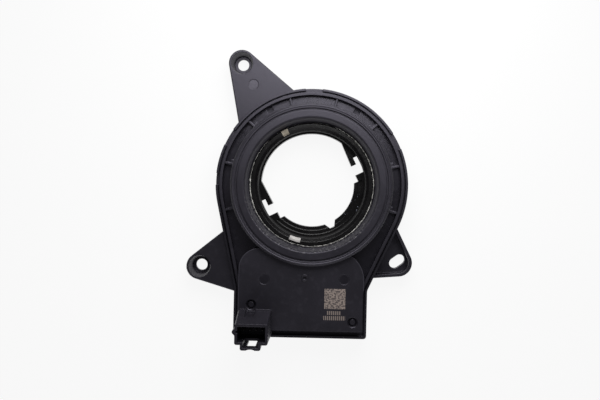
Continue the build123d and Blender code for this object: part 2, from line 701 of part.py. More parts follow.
def rotor_hub():
    """The sleeve that the steering shaft drives, with its gear and its notched ledge."""
    sleeve = turned(
        [
            (ROTOR_BORE_R, ROTOR_REAR),
            (ROTOR_COLLAR_R, ROTOR_REAR),
            (ROTOR_COLLAR_R, GEAR_LOW),
            (RIM_GEAR_R, GEAR_LOW),
            (RIM_GEAR_R, GEAR_TOP),
            (ROTOR_R, GEAR_TOP),
            (ROTOR_R, ROTOR_FRONT - ROTOR_EDGE),
            (ROTOR_R - ROTOR_EDGE, ROTOR_FRONT),
            (ROTOR_LIP_R, ROTOR_FRONT),
            (ROTOR_BORE_R, ROTOR_FRONT - (ROTOR_LIP_R - ROTOR_BORE_R)),
        ]
    )
    teeth = gear_face(ROTOR_TEETH) - Circle(RIM_GEAR_R - JOIN)
    hub = sleeve + prism(teeth, GEAR_LOW, GEAR_TOP)
    ledge = drum(ROTOR_BORE_R + JOIN, ROTOR_REAR, LEDGE_TOP)
    low_half = Pos(0, -ROTOR_BORE_R + BLOCK_LOW) * Rectangle(3 * ROTOR_BORE_R, 2 * ROTOR_BORE_R)
    for radius, height in LEDGE_STEPS:
        ledge -= prism(low_half & Circle(radius), height, LEDGE_TOP)
    turn = Rot(0, 0, ROTOR_TURN)
    hub += turn * ledge
    return hub - turn * prism(key_opening(), ROTOR_REAR, LEDGE_TOP)


def measuring_gear(name):
    """A pinion with a blind bore on its axle and a cup that holds the magnet."""
    teeth, centre, turn = GEARS[name]
    low = GEAR_LOW + PINION_DROP
    high = GEAR_TOP - PINION_DROP
    gear = prism(gear_face(teeth), low, high) + drum(CUP_R, high, CUP_TOP)
    gear -= drum(AXLE_R + AXLE_GAP, low, AXLE_TOP + PINION_DROP / 2)
    gear -= drum(MAGNET_R + MAGNET_GAP, CUP_TOP - MAGNET_T, CUP_TOP)
    return Pos(*centre) * Rot(0, 0, turn) * gear


def magnet(name):
    centre = GEARS[name][1]
    return drum(MAGNET_R, CUP_TOP - MAGNET_T, CUP_TOP, centre)


def gear_retainer():
    """A thin plate on the stake posts that keeps both measuring gears on their axles."""
    edges = []
    for teeth, centre, turn in GEARS.values():
        edges += [Pos(*centre) * e for e in Circle(CUP_R + RETAINER_GAP + RETAINER_RIM).edges()]
    for at in STAKES:
        edges += [Pos(*at) * e for e in Circle(POST_NECK_R + RETAINER_FOOT).edges()]
    plate = prism(make_hull(ShapeList(edges)), RETAINER_Z, RETAINER_Z + RETAINER_T)
    for teeth, centre, turn in GEARS.values():
        plate -= drum(CUP_R + RETAINER_GAP, RETAINER_Z, RETAINER_Z + RETAINER_T, centre)
    for at in STAKES:
        plate -= drum(POST_NECK_R + POST_GAP, RETAINER_Z, RETAINER_Z + RETAINER_T, at)
    return plate


def board_face():
    """The board's outline: clear of the rotor, with a tab under the connector's pins."""
    face = plate_face(COVER_T + BOARD_GAP) - Circle(BOARD_ARC_R)
    left = face.bounding_box().min.X
    right = base_span()[1] - SHROUD_WALL - BOARD_GAP
    low = SHROUD_LOW + SHROUD_WALL + BOARD_GAP
    high = PIN_Y + BOARD_TAB
    return face + Pos((left + right) / 2, (low + high) / 2) * Rectangle(right - left, high - low)


def circuit_board():
    board = prism(board_face(), BOARD_Z, BOARD_TOP)
    for at in STAKES:
        board -= drum(POST_PIN_R + POST_GAP, BOARD_Z, BOARD_TOP, at)
    for x in pin_places():
        hole = Pos(x, PIN_Y) * RegularPolygon(PIN_HOLE_R, PIN_HOLE_SIDES)
        board -= prism(hole, BOARD_Z, BOARD_TOP)
    return board


def pin_places():
    return [SHROUD_X + (pin - (PINS - 1) / 2) * PIN_PITCH for pin in range(PINS)]


def connector_pin(x):
    """A square pin, soldered in the board, that stands up into the shroud."""
    low = BOARD_Z - PIN_TAIL
    high = PIN_TOP - PIN_POINT
    pin = Pos(x, PIN_Y, (low + high) / 2) * Box(PIN_SIDE, PIN_SIDE, high - low)
    foot = Pos(x, PIN_Y, high) * Rectangle(PIN_SIDE, PIN_SIDE)
    tip = Pos(x, PIN_Y, PIN_TOP) * Rectangle(PIN_SIDE / 3, PIN_SIDE / 3)
    return pin + loft([foot, tip])


def leaded_chip(at, body, height, leads, pitch, span, below=False):
    """A chip with bent leads on its two long sides, on the top or the underside of the board."""
    chip = Pos(0, 0, (CHIP_STAND + height) / 2) * Box(body[0], body[1], height - CHIP_STAND)
    middle = height / 2
    for lead in range(leads):
        x = (lead - (leads - 1) / 2) * pitch
        for side in (-1, 1):
            edge, tip = side * body[1] / 2, side * span / 2
            knee = (edge + tip) / 2
            outside = knee + side * LEAD_T
            path = [(edge, middle), (knee, middle), (knee, 0), (tip, 0), (tip, LEAD_T)]
            path += [(outside, LEAD_T), (outside, middle + LEAD_T), (edge, middle + LEAD_T)]
            section = make_face(Polyline(*[(x - LEAD_W / 2, y, z) for y, z in path], close=True))
            chip += extrude(section, amount=LEAD_W, dir=(1, 0, 0))
    if below:
        return Pos(at[0], at[1], BOARD_Z) * Rot(180, 0, 0) * chip
    return Pos(at[0], at[1], BOARD_TOP) * chip


def on_board(at, size):
    return Pos(at[0], at[1], BOARD_TOP + size[2] / 2) * Box(*size)


def end_capped(at, size, cap):
    """A small chip part with its two metal ends standing a little proud."""
    body = on_board(at, (size[0] - 2 * cap, size[1] - 0.1, size[2] - 0.05))
    shift = (size[0] - cap) / 2
    for side in (-1, 1):
        body += on_board((at[0] + side * shift, at[1]), (cap, size[1], size[2]))
    return body


def index_pad(inner, outer, width, angle):
    """A thin pad folded over the chamfer and the front face of the rotor."""
    chamfer_low = ROTOR_FRONT - (ROTOR_LIP_R - ROTOR_BORE_R)
    drop = PAD_T / sqrt(2)
    start = (inner + drop, chamfer_low + inner + drop - ROTOR_BORE_R)
    points = [start, (ROTOR_LIP_R, ROTOR_FRONT), (outer, ROTOR_FRONT), (outer, ROTOR_FRONT + PAD_T)]
    points += [(ROTOR_LIP_R - PAD_T * tan(pi / 8), ROTOR_FRONT + PAD_T), (inner, start[1] + drop)]
    arc = width / ROTOR_LIP_R * 180 / pi
    return turned(points, arc, angle - arc / 2)


def parts():
    """Every piece of the sensor by its name."""
    made = {
        "rear_housing": rear_housing(),
        "front_cover": front_cover(),
        "rotor_hub": rotor_hub(),
        "index_pad_upper": index_pad(UPPER_PAD_IN, UPPER_PAD_OUT, UPPER_PAD_W, UPPER_PAD_ANGLE),
        "index_pad_lower": index_pad(LOWER_PAD_IN, LOWER_PAD_OUT, LOWER_PAD_W, LOWER_PAD_ANGLE),
        "measuring_gear_large": measuring_gear("large"),
        "measuring_gear_small": measuring_gear("small"),
        "magnet_large_gear": magnet("large"),
        "magnet_small_gear": magnet("small"),
        "gear_retainer": gear_retainer(),
        "circuit_board": circuit_board(),
        "angle_chip_large_gear": leaded_chip(GEARS["large"][1], *SENSOR_CHIP, below=True),
        "angle_chip_small_gear": leaded_chip(GEARS["small"][1], *SENSOR_CHIP, below=True),
        "microcontroller": leaded_chip(CONTROLLER_XY, *CONTROLLER),
        "bus_transceiver": leaded_chip(TRANSCEIVER_XY, *SMALL_CHIP),
        "memory_chip": leaded_chip(MEMORY_XY, *SMALL_CHIP),
        "voltage_regulator": leaded_chip(REGULATOR_XY, *REGULATOR),
        "crystal": on_board(CRYSTAL_XY, CRYSTAL),
        "tantalum_capacitor": end_capped(TANTALUM_XY, TANTALUM, 1.0),
        "protection_diode": end_capped(DIODE_XY, DIODE, 0.8),
    }
    for number, at in enumerate(CAPACITOR_XY, 1):
        made[f"ceramic_capacitor_{number}"] = end_capped(at, CAPACITOR, 0.4)
    for number, at in enumerate(RESISTOR_XY, 1):
        made[f"chip_resistor_{number}"] = end_capped(at, RESISTOR, 0.3)
    for number, x in enumerate(pin_places(), 1):
        made[f"connector_pin_{number}"] = connector_pin(x)
    return made


os.makedirs("parts", exist_ok=True)
for node, solid in parts().items():
    export_step(solid, f"parts/{node}.step")
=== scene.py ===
from math import cos, pi, radians, sin

import bpy
import numpy as np
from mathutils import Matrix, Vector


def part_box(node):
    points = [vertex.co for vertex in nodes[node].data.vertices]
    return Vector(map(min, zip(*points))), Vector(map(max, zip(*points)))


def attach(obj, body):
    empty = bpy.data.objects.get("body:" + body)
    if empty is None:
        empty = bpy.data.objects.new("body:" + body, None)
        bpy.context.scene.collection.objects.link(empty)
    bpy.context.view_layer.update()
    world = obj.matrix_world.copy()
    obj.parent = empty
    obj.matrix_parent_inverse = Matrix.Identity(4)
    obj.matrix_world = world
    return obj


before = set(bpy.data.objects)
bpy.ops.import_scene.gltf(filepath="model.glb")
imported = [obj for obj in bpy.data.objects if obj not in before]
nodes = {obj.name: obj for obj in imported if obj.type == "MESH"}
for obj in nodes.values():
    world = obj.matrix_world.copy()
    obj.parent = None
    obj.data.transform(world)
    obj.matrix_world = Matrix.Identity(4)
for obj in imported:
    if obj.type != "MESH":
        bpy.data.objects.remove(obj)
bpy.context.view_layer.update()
MM = 0.001


# The camera stands close over the sensor and looks straight down, so that the walls of the ring
# open outwards. It is turned a little, and shifted to where the photograph has its centre.
CAMERA_PLACE = (2.55 * MM, 2.93 * MM, 306 * MM)
CAMERA_TURN = radians(1.3)
CAMERA_LENS = 41.4
CAMERA_SHIFT = (-0.03, -0.0367)
CAMERA_NEAR = 0.01

camera_data = bpy.data.cameras.new("camera")
camera_data.lens = CAMERA_LENS
camera_data.shift_x, camera_data.shift_y = CAMERA_SHIFT
camera_data.clip_start = CAMERA_NEAR
camera = bpy.data.objects.new("camera", camera_data)
camera.location = CAMERA_PLACE
camera.rotation_euler = (0, 0, CAMERA_TURN)
bpy.context.scene.collection.objects.link(camera)
bpy.context.scene.camera = camera
bpy.context.scene.view_settings.view_transform = "Standard"


# A soft box hangs close over the upper edge of the sensor, and a large weak one fills in from the
# side of the connector. The room around them is white and dim.
KEY_PLACE = (0.014, 0.113, 0.124)
KEY_SIDE = 0.16
KEY_POWER = 0.38
FILL_PLACE = (0.04, -0.52, 0.30)
FILL_SIDE = 0.60
FILL_POWER = 0.8
WHITE = (1, 1, 1, 1)
ROOM_LIGHT = 0.10


def soft_box(name, place, side, power):
    """A square area light at a place, aimed at the origin."""
    data = bpy.data.lights.new(name, "AREA")
    data.size = side
    data.energy = power
    lamp = bpy.data.objects.new(name, data)
    lamp.location = place
    direction = -np.array(place) / np.linalg.norm(place)
    tilt = np.arccos(-direction[2])
    turn = np.arctan2(direction[1], direction[0]) - pi / 2
    lamp.rotation_euler = (tilt, 0, turn)
    bpy.context.scene.collection.objects.link(lamp)


soft_box("key_light", KEY_PLACE, KEY_SIDE, KEY_POWER)
soft_box("fill_light", FILL_PLACE, FILL_SIDE, FILL_POWER)

room = bpy.data.worlds.new("room")
room.use_nodes = True
room_background = room.node_tree.nodes["Background"]
room_background.inputs["Color"].default_value = WHITE
room_background.inputs["Strength"].default_value = ROOM_LIGHT
bpy.context.scene.world = room


# The sensor lies on a large sheet of white paper. Its material and all that follow are made of nodes
# by two classes: a tone varies over a surface, and a finish is one material in the making.
PAPER_SIZE = 6.0
PAPER_TOP = -0.05 * MM
PAPER_SHADE = (0.9, 0.9, 0.9, 1)
PAPER_EVENNESS = 0.9


class Tone:
    """A node's output. Sums, differences, products and quotients of it add Math nodes."""

    def __init__(self, finish, socket):
        self.finish = finish
        self.socket = socket

    def worked(self, operation, *values):
        """One Math node on these values."""
        return self.finish.node("ShaderNodeMath", {"operation": operation}, dict(enumerate(values)))

    def __add__(self, other):
        return self.worked("ADD", self, other)

    def __sub__(self, other):
        return self.worked("SUBTRACT", self, other)

    def __rsub__(self, other):
        return self.worked("SUBTRACT", other, self)

    def __mul__(self, other):
        return self.worked("MULTIPLY", self, other)

    def __truediv__(self, other):
        return self.worked("DIVIDE", self, other)

    __radd__ = __add__
    __rmul__ = __mul__

    def step(self, low, high):
        """0 up to the low value, 1 from the high one, and smooth between."""
        limits = {"Value": self, "From Min": low, "From Max": high}
        return self.finish.node("ShaderNodeMapRange", {"interpolation_type": "SMOOTHSTEP"}, limits)

    def kept(self, low, high):
        """The value, kept between two limits."""
        return self.worked("MINIMUM", self.worked("MAXIMUM", self, low), high)

    def within(self, low, high, soft):
        """1 between two values, fading to 0 over the soft width outside them."""
        return self.step(low - soft, low) * (1 - self.step(high, high + soft))

    def wave(self, pitch):
        """A sine from -1 to 1 that repeats after each pitch."""
        return self.worked("SINE", self * (2 * pi / pitch))

    def diagonal(self, across):
        """The root of the sum of the squares of this length and one across it."""
        return self.worked("SQRT", self * self + across * across)


class Finish:
    """A material in the making, with the place on the piece that its patterns are laid out by."""

    def __init__(self, name):
        self.material = bpy.data.materials.new(name)
        self.material.use_nodes = True
        self.tree = self.material.node_tree
        self.tree.nodes.clear()
        self.place = self.node("ShaderNodeTexCoord", output="Object")
        split = self.node("ShaderNodeSeparateXYZ", {}, {0: self.place}).socket.node
        self.x, self.y, self.z = (Tone(self, socket) for socket in split.outputs)

    def node(self, kind, settings=None, sockets=None, output=0):
        """Adds a node: first its settings, then a value or a link for each socket."""
        made = self.tree.nodes.new(kind)
        for name, value in (settings or {}).items():
            setattr(made, name, value)
        for name, value in (sockets or {}).items():
            if isinstance(value, Tone):
                self.tree.links.new(value.socket, made.inputs[name])
            else:
                made.inputs[name].default_value = value
        return Tone(self, made.outputs[output])

    def noise(self, grain, detail):
        """Cloudy noise from 0 to 1 with patches about as wide as the grain."""
        sockets = {"Vector": self.place, "Scale": 1 / grain, "Detail": detail}
        return self.node("ShaderNodeTexNoise", {}, sockets)

    def mixed(self, share, first, second):
        """The first colour where the share is 0 and the second where it is 1 (sockets 6, 7 and 2)."""
        return self.node("ShaderNodeMix", {"data_type": "RGBA"}, {0: share, 6: first, 7: second}, 2)

    def bumpy(self, height, depth, normal=None):
        """The surface normal over a height that counts in depths, on top of a normal if one is given."""
        sockets = {"Strength": 1.0, "Distance": depth, "Height": height}
        if normal:
            sockets["Normal"] = normal
        return self.node("ShaderNodeBump", {}, sockets)

    def ends_in(self, surface):
        """The finished material, with this shader as its surface."""
        output = self.tree.nodes.new("ShaderNodeOutputMaterial")
        self.tree.links.new(surface.socket, output.inputs["Surface"])
        return self.material

    def done(self, **sockets):
        """The finished material, with a socket of the surface shader for each name given."""
        values = {name.replace("_", " "): value for name, value in sockets.items()}
        return self.ends_in(self.node("ShaderNodeBsdfPrincipled", {}, values))


def white_paper():
    """White paper that the camera and mirrors see as nearly evenly lit, with a trace of shadow."""
    finish = Finish("white_paper")
    seen = finish.node("ShaderNodeLightPath", output="Is Camera Ray")
    mirrored = finish.node("ShaderNodeLightPath", output="Is Glossy Ray")
    through = finish.node("ShaderNodeLightPath", output="Is Transmission Ray")
    glow = finish.node("ShaderNodeEmission", {}, {"Color": WHITE, "Strength": 1.0})
    matt = finish.node("ShaderNodeBsdfDiffuse", {}, {"Color": PAPER_SHADE})
    share = (seen + mirrored + through).kept(0.0, 1.0) * PAPER_EVENNESS
    return finish.ends_in(finish.node("ShaderNodeMixShader", {}, {0: share, 1: matt, 2: glow}))


paper_mesh = bpy.data.meshes.new("paper")
half = PAPER_SIZE / 2
corners = [(x * half, y * half, PAPER_TOP) for x, y in ((-1, -1), (1, -1), (1, 1), (-1, 1))]
paper_mesh.from_pydata(corners, [], [(0, 1, 2, 3)])
paper = bpy.data.objects.new("paper", paper_mesh)
bpy.context.scene.collection.objects.link(paper)
paper_mesh.materials.append(white_paper())


# The rear housing is one moulding in black glass-filled plastic, with a spark-eroded grain from the
# mould. Its edges are broken by a small radius, which catches the light as a thin line, and an
# ejector pin has left a smoother round mark on the upper ear.
EDGE_RADIUS = 0.3 * MM
GRAIN = 0.18 * MM
GRAIN_DEPTH = 0.010 * MM
CLOUD = 14 * MM
SCUFF = 2.2 * MM
CASE_DARK = (0.0078, 0.0071, 0.0102, 1)
CASE_LIGHT = (0.0130, 0.0119, 0.0167, 1)
CASE_ROUGHNESS = (0.38, 0.48)
CASE_GLOSS = 0.7
CASE_GLOSS_TINT = (0.88, 0.84, 1.0, 1)
POLISH = 0.15
EJECTOR_R = 2.2 * MM
EAR_EJECTOR = (-26.2 * MM, 42.75 * MM)


def dress(node, material):
    """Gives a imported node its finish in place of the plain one."""
    nodes[node].data.materials.clear()
    nodes[node].data.materials.append(material)


def rounded_edges(finish, radius):
    """The surface normal, turned near sharp edges as if they had that radius."""
    return finish.node("ShaderNodeBevel", {"samples": 8}, {"Radius": radius}, "Normal")


def spot(finish, centre, radius):
    """1 about a line along Z through the centre, fading to 0 from 0.7 of the radius to all of it."""
    distance = (finish.x - centre[0]).diagonal(finish.y - centre[1])
    return 1 - distance.step(radius * 0.7, radius)


def black_plastic(finish, dark, light, roughness):
    """Colour and roughness of a black moulding: clouds of handling sheen and fine scuffs."""
    smooth, rough = roughness
    cloud = finish.noise(CLOUD, 3.0)
    scuff = finish.noise(SCUFF, 6.0).step(0.52, 0.68)
    colour = finish.mixed(cloud.step(0.35, 0.65) * 0.6 + scuff * 0.4, dark, light)
    return colour, smooth + (rough - smooth) * cloud + scuff * 0.06


def moulded(finish, colour, roughness, shape, height=0.0):
    """The case's gloss, and its grain and a height over a normal that has the edges and slopes."""
    return finish.done(
        Base_Color=colour,
        Roughness=roughness,
        Specular_IOR_Level=CASE_GLOSS,
        Specular_Tint=CASE_GLOSS_TINT,
        Normal=finish.bumpy(finish.noise(GRAIN, 3.0) + height, GRAIN_DEPTH, shape),
    )


def case_plastic():
    """Black plastic with its grain, and the ejector's mark on the upper ear."""
    finish = Finish("case_plastic")
    colour, roughness = black_plastic(finish, CASE_DARK, CASE_LIGHT, CASE_ROUGHNESS)
    roughness = roughness - spot(finish, EAR_EJECTOR, EJECTOR_R) * POLISH
    return moulded(finish, colour, roughness, rounded_edges(finish, EDGE_RADIUS))


dress("rear_housing", case_plastic())


# The front cover is a second moulding of the same plastic, smoother on the floor of its channel and
# on the plate's two round ejector marks. Its mouth is smeared with grease, whose pale specks also
# paint a highlight on the lower side of the mouth's rounded edge. A paler line along the plate's rim
# is a painted highlight, and a laser has etched a field and two rows of marks on the plate.
MOUTH_FOOT = 26.15 * MM
MOUTH_BOTTOM = 14.0 * MM
MOUTH_TOP = 28.2 * MM
MOUTH_ROUND = 0.6 * MM
MOUTH_FALL = 0.12 * MM
DISC_TOP = 19.2 * MM
DISC_BEAD = 33.15 * MM
DISC_BEAD_HALF = 0.5 * MM
DISC_BEAD_FALL = 0.15 * MM
CHANNEL_FLOOR = 11.2 * MM
PLATE_TOP = 16.5 * MM
PLATE_CORNERS = (((-21.4 * MM, -35.6 * MM), 8.5 * MM, -1), ((9.9 * MM, -40.1 * MM), 13.0 * MM, 1))
PLATE_RIM = 0.4 * MM
PLATE_EJECTORS = ((-19.05 * MM, -40.05 * MM), (14.45 * MM, -39.5 * MM))
# A paler colour painted along the plate's rim, as a painted highlight of its rounded edge.
RIM_HIGHLIGHT_COLOUR = (0.10, 0.095, 0.12, 1)
RIM_HIGHLIGHT_SHARE = 0.35
# Pale grease specks on the mouth's wall; over its rounded edge on the lower side they are a painted
# highlight.
SMEAR_AND_HIGHLIGHT_ANGLE = 262
SMEAR_REACH = 80
SMEAR_GRAIN = 0.9 * MM
SMEAR_AND_HIGHLIGHT_COLOUR = (0.21, 0.205, 0.205, 1)
SMEAR_AND_HIGHLIGHT_SHARE = 0.5
SMEAR_HEIGHT = 6
ETCHED_FIELD = ((6.4 * MM, 15.2 * MM), (-51.9 * MM, -43.5 * MM))
ETCHED_ROWS = (
    ((7.5 * MM, 13.2 * MM), (-54.4 * MM, -52.8 * MM)),
    ((6.1 * MM, 15.3 * MM), (-56.6 * MM, -54.9 * MM)),
)
ETCHED_COLOUR = (0.32, 0.26, 0.225, 1)
ETCHED_ROUGHNESS = 0.3
ETCHED_HEIGHT = 2
BLOT = 0.75 * MM
BAR = 0.85 * MM


def around(finish):
    """The distance from the steering axis."""
    return finish.x.diagonal(finish.y)


def toward(finish, degrees, reach):
    """1 on the side of the axis at that angle, fading to 0 from 0.6 of the reach to all of it."""
    across = finish.x * cos(radians(degrees)) + finish.y * sin(radians(degrees))
    return (across / around(finish)).step(cos(radians(reach)), cos(radians(reach * 0.6)))


def laser_marks(finish):
    """How much of the surface the laser has etched: a blotchy field over two rows of short bars."""
    on_top = finish.z.step(PLATE_TOP - 0.2 * MM, PLATE_TOP - 0.1 * MM)
    soft = 0.05 * MM

    def patch(limits):
        return finish.x.within(*limits[0], soft) * finish.y.within(*limits[1], soft)

    blots = finish.noise(BLOT, 1.0).step(0.40, 0.58)
    marks = patch(ETCHED_FIELD) * (0.25 + 0.75 * blots)
    bars = finish.x.wave(BAR).step(-0.6, 0.1)
    for row in ETCHED_ROWS:
        marks = marks + patch(row) * bars * 0.75
    return marks * on_top


def past_corner(finish, centre, side):
    """How far a place is past a centre, counting only the way up and the way out to that side."""
    out = finish.x.worked("MAXIMUM", (finish.x - centre[0]) * side, 0.0)
    up = finish.y.worked("MAXIMUM", finish.y - centre[1], 0.0)
    return out.diagonal(up)


def painted_rim_highlight(finish):
    """1 along the plate's left, right and top rims, where a paler colour is painted as a highlight of the
    rounded edge.
    """
    rim = 0
    for centre, turn_radius, side in PLATE_CORNERS:
        inner = turn_radius - PLATE_RIM
        rim = rim + past_corner(finish, centre, side).step(inner, inner + PLATE_RIM / 2)
    return rim.kept(0.0, 1.0) * finish.z.within(PLATE_TOP - PLATE_RIM, PLATE_TOP + 0.1 * MM, 0.1 * MM)


def grease_and_edge_highlight(finish, distance):
    """How much grease and painted highlight there is on the mouth's wall and rounded edge: pale specks,
    thickest on the lower side, where they also paint the light on that edge.
    """
    above_foot = finish.z.step(MOUTH_BOTTOM - 0.1 * MM, MOUTH_BOTTOM + 0.1 * MM)
    wall = distance.within(MOUTH_FOOT, MOUTH_TOP + MOUTH_ROUND * 0.7, 0.1 * MM) * above_foot
    return finish.noise(SMEAR_GRAIN, 4.0).step(0.52, 0.70) * wall * toward(finish, SMEAR_AND_HIGHLIGHT_ANGLE, SMEAR_REACH)


def disc_slopes(finish, distance):
    """How far the disc's face falls, in metres: with the square of the way past the start of the
    mouth's rounded edge, and with the square of the way from the crown of its bead."""
    past_start = ((MOUTH_TOP + MOUTH_ROUND - distance) / MOUTH_ROUND).kept(0.0, 3.0)
    off_crown = ((distance - DISC_BEAD) / DISC_BEAD_HALF).kept(-1.0, 1.0)
    on_disc = finish.z.step(DISC_TOP - 0.5 * MM, DISC_TOP - 0.4 * MM)
    return (past_start * past_start * MOUTH_FALL + off_crown * off_crown * DISC_BEAD_FALL) * on_disc


def cover_plastic():
    """The case's plastic with the cover's slopes, polish, grease, painted highlights and laser marks."""
    finish = Finish("cover_plastic")
    distance = around(finish)
    specks_and_highlight = grease_and_edge_highlight(finish, distance)
    marks = laser_marks(finish)
    colour, roughness = black_plastic(finish, CASE_DARK, CASE_LIGHT, CASE_ROUGHNESS)
    # The plate's rim gets a painted highlight.
    colour = finish.mixed(painted_rim_highlight(finish) * RIM_HIGHLIGHT_SHARE, colour, RIM_HIGHLIGHT_COLOUR)
    # Grease specks, partly a painted highlight on the mouth's lower edge.
    colour = finish.mixed(specks_and_highlight * SMEAR_AND_HIGHLIGHT_SHARE, colour, SMEAR_AND_HIGHLIGHT_COLOUR)
    colour = finish.mixed(marks, colour, ETCHED_COLOUR)
    polished = finish.z.within(CHANNEL_FLOOR - 0.1 * MM, CHANNEL_FLOOR + 0.1 * MM, 0.05 * MM)
    for centre in PLATE_EJECTORS:
        polished = polished + spot(finish, centre, EJECTOR_R)
    roughness = roughness - (polished + specks_and_highlight) * POLISH + marks * ETCHED_ROUGHNESS
    shape = finish.bumpy(0 - disc_slopes(finish, distance), 1.0, rounded_edges(finish, EDGE_RADIUS))
    return moulded(finish, colour, roughness, shape, specks_and_highlight * SMEAR_HEIGHT + marks * ETCHED_HEIGHT)


dress("front_cover", cover_plastic())


# Grease has been pressed out of the gap between the rotor and the cover. It stands there as a thin
# broken bead, thickest at the left and at the lower right and wiped off at the top.
BEAD_R = 26.1 * MM
BEAD_Z = 14.1 * MM
BEAD_STEPS = 1080
BEAD_SIDES = 8
BEAD_THICK = 0.30 * MM
BEAD_SHARES = (
    (0, 0.45), (5, 0.8), (9, 0.4), (17, 0.8), (22, 0.45), (45, 0.5), (62, 0.4), (70, 0.05), (130, 0.03),
    (141, 0.2), (160, 0.3), (172, 0.35), (178, 0.9), (186, 0.7), (198, 1.0), (204, 0.55), (230, 0.45),
    (262, 0.5), (285, 0.6), (300, 0.75), (314, 0.7), (324, 1.1), (330, 0.5), (338, 0.8), (344, 0.4),
    (360, 0.45),
)
BEAD_LUMPS = ((29, 0.2, 0.2), (47, 1.3, 0.2), (71, 2.2, 0.18))
BEAD_LUMP_LIMITS = (0.35, 1.6)
BEAD_SWAY = 0.07 * MM
BEAD_SWAYS = ((23, 0.9, 0.6), (57, 2.0, 0.5))
GREASE_GRAIN = 0.9 * MM
GREASE_DEPTH = 0.08 * MM
GREASE_DARK = (0.20, 0.20, 0.19, 1)
GREASE_LIGHT = (0.62, 0.61, 0.57, 1)


def ripple(angle, waves):
    """A sum of sines about the axis: each wave is its number of turns, its phase and its weight."""
    return sum(weight * np.sin(turns * angle + phase) for turns, phase, weight in waves)


def torus_grid(angle, radius, height, thick, sides):
    """A closed tube about the axis: at each angle a circle of radius thick, upright, whose centre is
    at that radius from the axis and at that height."""
    turn = np.linspace(0, 2 * pi, sides, endpoint=False)
    a, t = np.meshgrid(angle, turn, indexing="ij")
    r = radius[:, None] + thick[:, None] * np.cos(t)
    return np.stack([r * np.cos(a), r * np.sin(a), height + thick[:, None] * np.sin(t)], -1)


def closed_mesh(name, grid):
    """A mesh of quads over a grid of points that closes on itself in both directions."""
    rows, columns = grid.shape[:2]
    index = np.arange(rows * columns).reshape(rows, columns)
    next_row, next_column = np.roll(index, -1, 0), np.roll(index, -1, 1)
    quads = np.stack([index, next_row, np.roll(next_row, -1, 1), next_column], -1).reshape(-1, 4)
    mesh = bpy.data.meshes.new(name)
    mesh.from_pydata(grid.reshape(-1, 3), [], quads)
    mesh.shade_smooth()
    return mesh


def add_piece(name, mesh, material, body):
    """Puts a new piece in the scene, on a body and with a material."""
    piece = bpy.data.objects.new(name, mesh)
    bpy.context.scene.collection.objects.link(piece)
    mesh.materials.append(material)
    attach(piece, body)


def grease_bead():
    """The bead is as thick as the share at its angle says, and swells and thins in lumps."""
    angle = np.linspace(0, 2 * pi, BEAD_STEPS, endpoint=False)
    places, shares = np.array(BEAD_SHARES).T
    lumps = np.clip(1 + ripple(angle, BEAD_LUMPS), *BEAD_LUMP_LIMITS)
    thick = BEAD_THICK * np.interp(np.degrees(angle), places, shares) * lumps
    radius = BEAD_R + BEAD_SWAY * ripple(angle, BEAD_SWAYS)
    return closed_mesh("grease_bead", torus_grid(angle, radius, BEAD_Z, thick, BEAD_SIDES))


def grease():
    """Wet grease in patches from pale to a dirty grey, with small lumps."""
    finish = Finish("grease")
    cloud = finish.noise(GREASE_GRAIN, 3.0)
    colour = finish.mixed(cloud.step(0.35, 0.65), GREASE_DARK, GREASE_LIGHT)
    return finish.done(Base_Color=colour, Roughness=0.3, Normal=finish.bumpy(cloud, GREASE_DEPTH))


add_piece("grease_bead", grease_bead(), grease(), "housing")


# The rotor is a smoother moulding with a matt bore, its black painted darker than the case's as
# painted shade for its recess in the cover. Grease wets a stretch of its ledge, where bluish glints
# are painted into its colour.
# Darker than the case's colours, as painted shade for the rotor's recess.
ROTOR_SHADED_DARK = (0.0032, 0.0028, 0.0032, 1)
ROTOR_SHADED_LIGHT = (0.0064, 0.0058, 0.0066, 1)
ROTOR_ROUGHNESS = (0.20, 0.28)
ROTOR_GLOSS = 0.4
ROTOR_GRAIN = 0.2
BORE_WALL = (22.85 * MM, 23.05 * MM)
BORE_ROUGHNESS = 0.6
WET_ANGLE = 332
WET_REACH = 24
WET_OUTER = (22.4 * MM, 22.8 * MM)
WET_POLISH = 0.12
WET_GRAIN = 1.1 * MM
WET_HEIGHT = 5
# Bluish painted glints in the grease on the ledge.
GLINT_SIZE = 0.9 * MM
GLINT_COLOUR = (0.45, 0.47, 0.58, 1)


def rotor_plastic():
    """Black plastic painted darker as shade, with a matt bore, grease on the ledge and painted glints in
    it.
    """
    finish = Finish("rotor_plastic")
    colour, roughness = black_plastic(finish, ROTOR_SHADED_DARK, ROTOR_SHADED_LIGHT, ROTOR_ROUGHNESS)
    distance = around(finish)
    wet = toward(finish, WET_ANGLE, WET_REACH) * (1 - distance.step(*WET_OUTER))
    # Painted glints, where the wet ledge catches the light.
    painted_glints = finish.noise(GLINT_SIZE, 3.0).step(0.66, 0.72) * wet
    bore = distance.within(*BORE_WALL, 0.05 * MM)
    height = finish.noise(GRAIN, 3.0) * ROTOR_GRAIN + finish.noise(WET_GRAIN, 4.0) * wet * WET_HEIGHT
    return finish.done(
        Base_Color=finish.mixed(painted_glints, colour, GLINT_COLOUR),
        Roughness=roughness - wet * WET_POLISH + bore * BORE_ROUGHNESS,
        Specular_IOR_Level=ROTOR_GLOSS,
        Normal=finish.bumpy(height, GRAIN_DEPTH, rounded_edges(finish, EDGE_RADIUS)),
    )


dress("rotor_hub", rotor_plastic())


# Two index pads of pale foam tape are stuck over the rotor's front edge. The upper one is given
# darker, browner colours and a full share of stain.
FOAM_CELL = 0.5 * MM
FOAM_DEPTH = 0.03 * MM
FOAM_STAIN = 1.6 * MM
UPPER_PAD = ((0.40, 0.36, 0.30, 1), (0.26, 0.23, 0.18, 1), 1.0)
LOWER_PAD = ((0.58, 0.56, 0.54, 1), (0.40, 0.38, 0.37, 1), 0.6)


